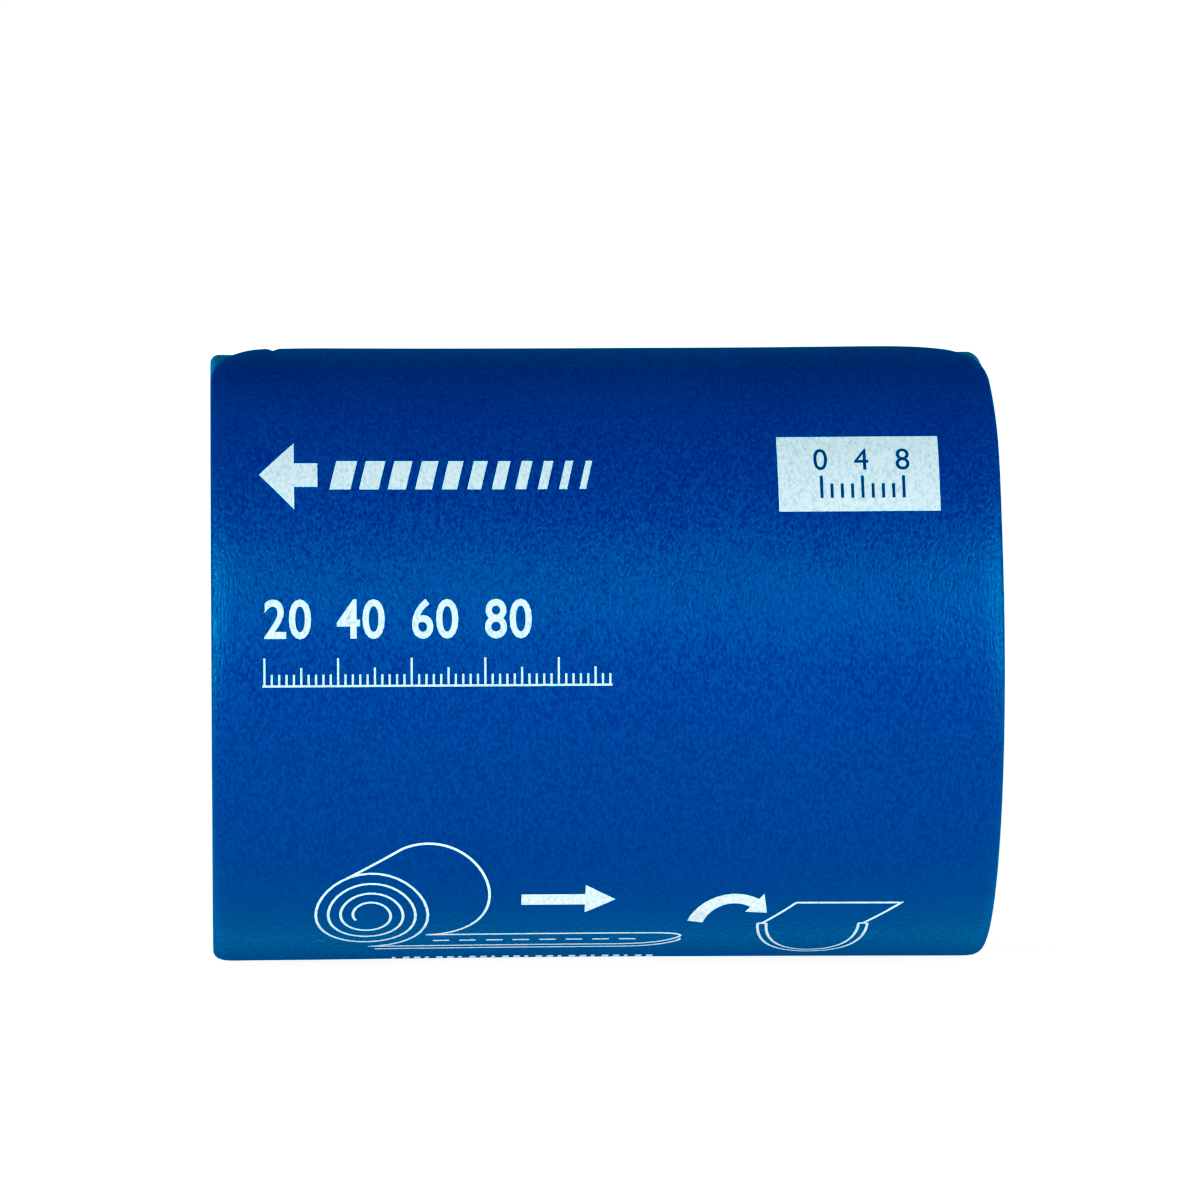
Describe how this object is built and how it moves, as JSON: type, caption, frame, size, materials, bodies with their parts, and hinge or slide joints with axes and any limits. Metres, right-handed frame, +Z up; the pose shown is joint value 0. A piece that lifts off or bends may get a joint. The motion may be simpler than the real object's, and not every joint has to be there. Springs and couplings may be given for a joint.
{
  "type": "rolled padded splint",
  "caption": "Long padded foam splint strip with rounded ends, rolled up on itself for storage and lying on its side.",
  "frame": {"origin": "middle of the underside of the roll's box, on the surface that it rests on", "axes": "+X along the axis of the roll, -Y towards the front, where the strip comes up to its loose end, +Z up"},
  "size_m": [0.108, 0.083, 0.0849],
  "materials": {
    "face_foam": null,
    "pad_foam": "fine-grained matte teal blue foam"
  },
  "bodies": {
    "root": {"face_sheet": "face_foam", "back_pad": "pad_foam"}
  },
  "joints": []
}
